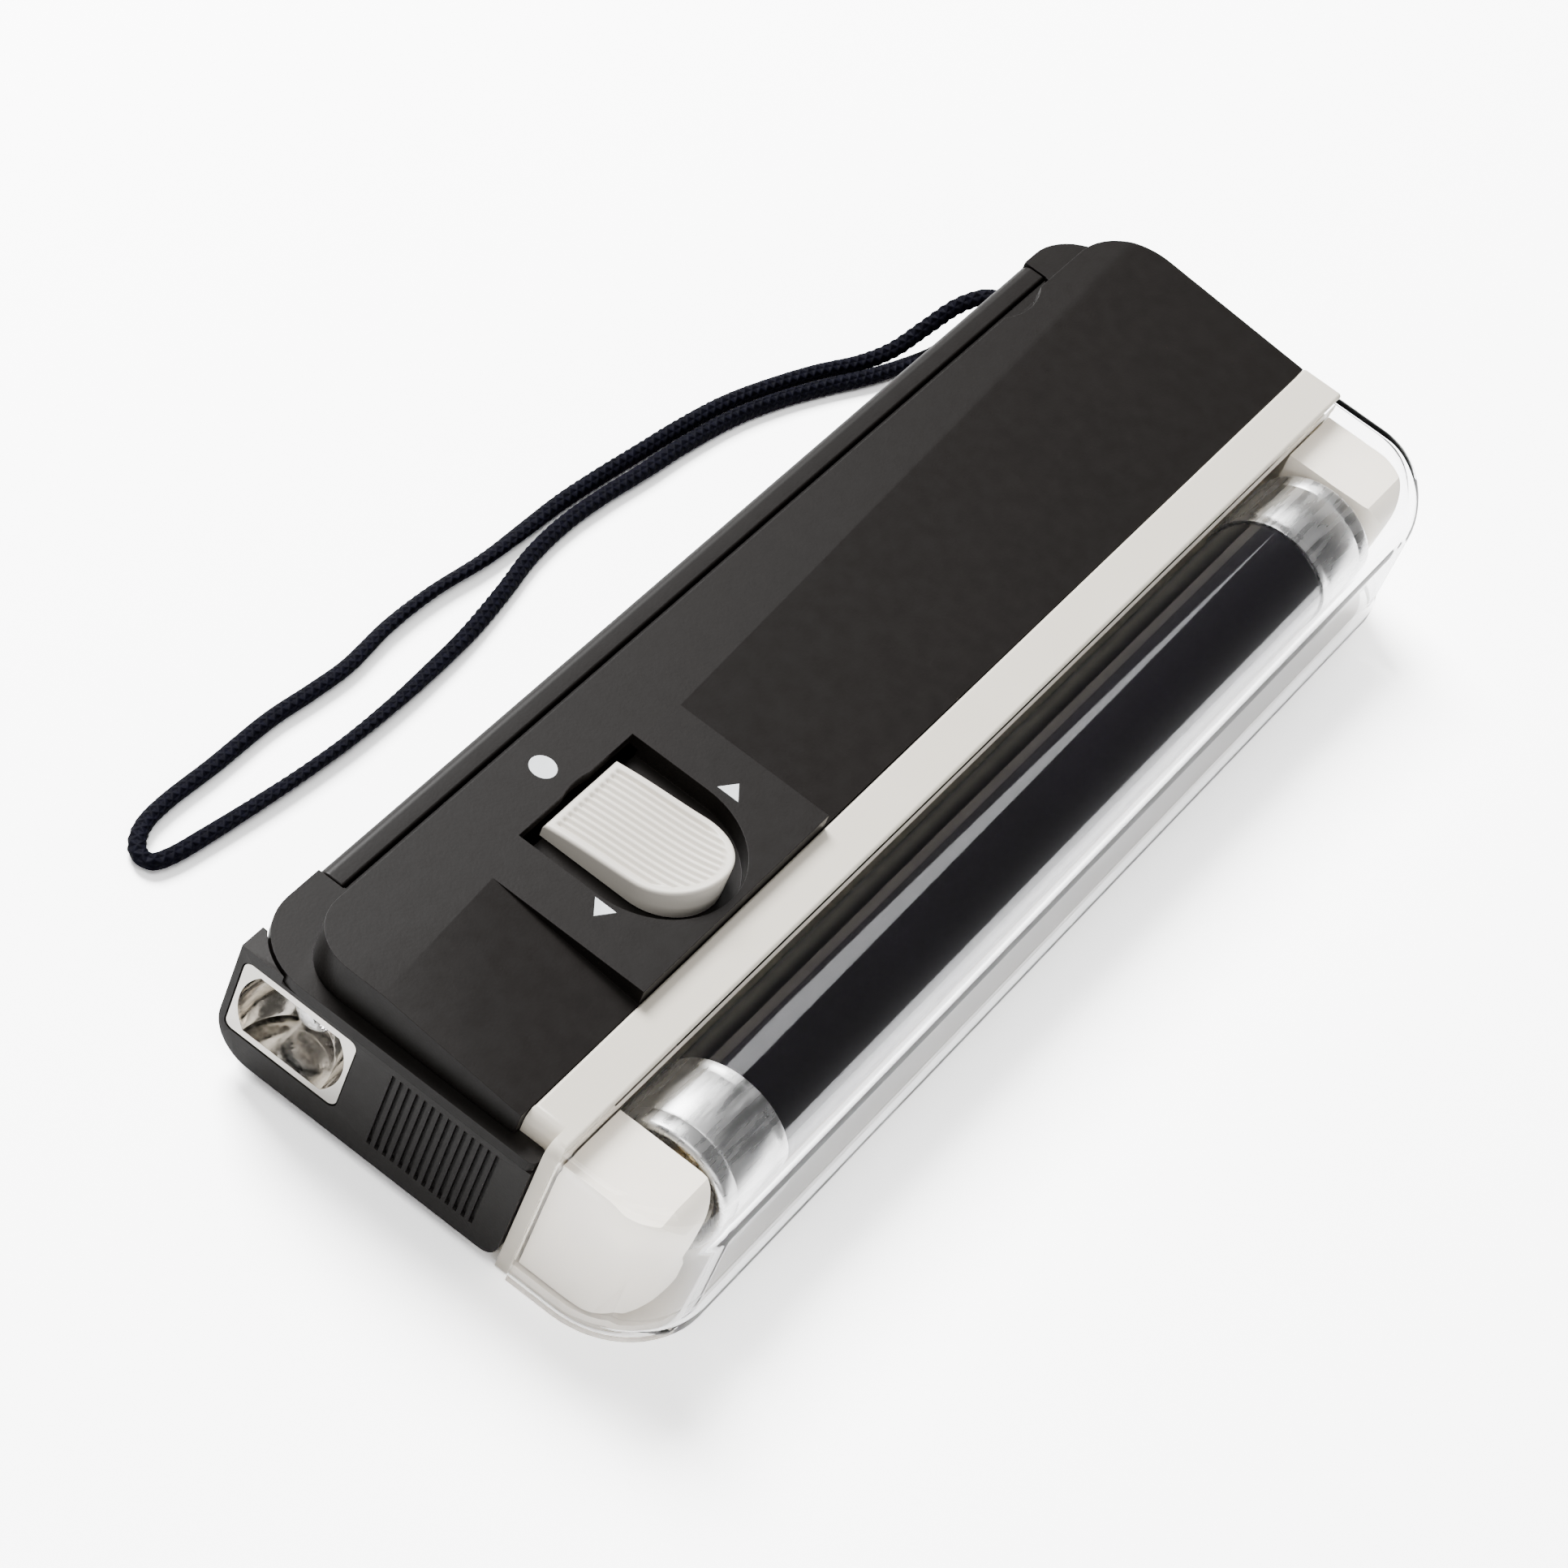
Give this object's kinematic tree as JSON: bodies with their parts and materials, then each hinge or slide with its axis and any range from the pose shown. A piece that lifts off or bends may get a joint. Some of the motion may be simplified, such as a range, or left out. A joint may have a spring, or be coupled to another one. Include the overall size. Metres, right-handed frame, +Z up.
{
  "type": "handheld ultraviolet banknote checker",
  "caption": "Pocket ultraviolet banknote checker: black slab housing, lamp under a clear cover, slide switch, ribbed torch end and wrist strap.",
  "frame": {"origin": "bottom centre of the body, midway along its length and width, on the face it rests on (the strap is not counted)", "axes": "+X along the length, away from the torch; -Y towards the lamp's clear cover; +Z up through the switch"},
  "size_m": [0.16, 0.0784, 0.0244],
  "materials": {
    "black_housing": "fine matt texture, semi-matt black",
    "black_ribbed": "fine matt texture, charcoal black",
    "reflector_chrome": "vacuum-metallised mirror",
    "bulb_glass": "clear domed lens",
    "socket_plastic": "satin ivory",
    "cream_plastic": "satin warm off-white",
    "clear_plastic": "clear polished acrylic",
    "uv_glass": "polished violet-black filter glass",
    "lamp_cap_metal": "drawn aluminium with fine scratches",
    "pin_brass": "bright",
    "knob_plastic": "satin warm off-white",
    "plated_steel": "zinc plated",
    "board_laminate": "phenolic laminate",
    "transformer_core": "ferrite grey",
    "component_black": "moulded black",
    "component_brown": "dipped brown",
    "cell_wrap": "plain dark shrink wrap",
    "strap_braid": "braided navy-black cord",
    "mark_ink": "printed white ink",
    "wire_red": "insulated wire",
    "wire_black": "insulated wire",
    "wire_yellow": "insulated wire"
  },
  "bodies": {
    "housing": {"upper_cover": "black_housing", "lower_shell": "black_housing", "torch_head": "black_ribbed", "torch_reflector": "reflector_chrome", "torch_bulb": "bulb_glass", "torch_socket": "socket_plastic", "lamp_frame": "cream_plastic", "uv_tube": "uv_glass", "tube_cap_near": "lamp_cap_metal", "tube_cap_far": "lamp_cap_metal", "tube_pins": "pin_brass", "lamp_holder_near": "cream_plastic", "lamp_holder_far": "cream_plastic", "switch_body": "plated_steel", "circuit_board": "board_laminate", "transformer": "transformer_core", "transistor": "component_black", "capacitors": "component_brown", "cell_1": "cell_wrap", "cell_2": "cell_wrap", "cell_3": "cell_wrap", "cell_4": "cell_wrap", "cell_terminals": "plated_steel", "contact_springs": "plated_steel", "contact_plates": "plated_steel", "housing_screws": "plated_steel", "strap_anchor": "black_housing", "strap_cord": "strap_braid", "index_marks": "mark_ink", "lamp_wires": "wire_red", "torch_wires": "wire_black", "battery_wires": "wire_yellow"},
    "door": {"battery_door": "black_housing"},
    "cover": {"tube_cover": "clear_plastic"},
    "switch": {"switch_knob": "knob_plastic", "switch_slider": "socket_plastic"}
  },
  "joints": [
    {"name": "switch_slide", "type": "slide", "parent": "housing", "child": "switch", "axis": [1, 0, 0], "range_m": [-0.0025, 0.0025]},
    {"name": "door_off", "type": "slide", "parent": "housing", "child": "door", "axis": [0, 0, -1], "range_m": [0, 0.03]},
    {"name": "cover_off", "type": "slide", "parent": "housing", "child": "cover", "axis": [0, 0, 1], "range_m": [0, 0.03]}
  ]
}
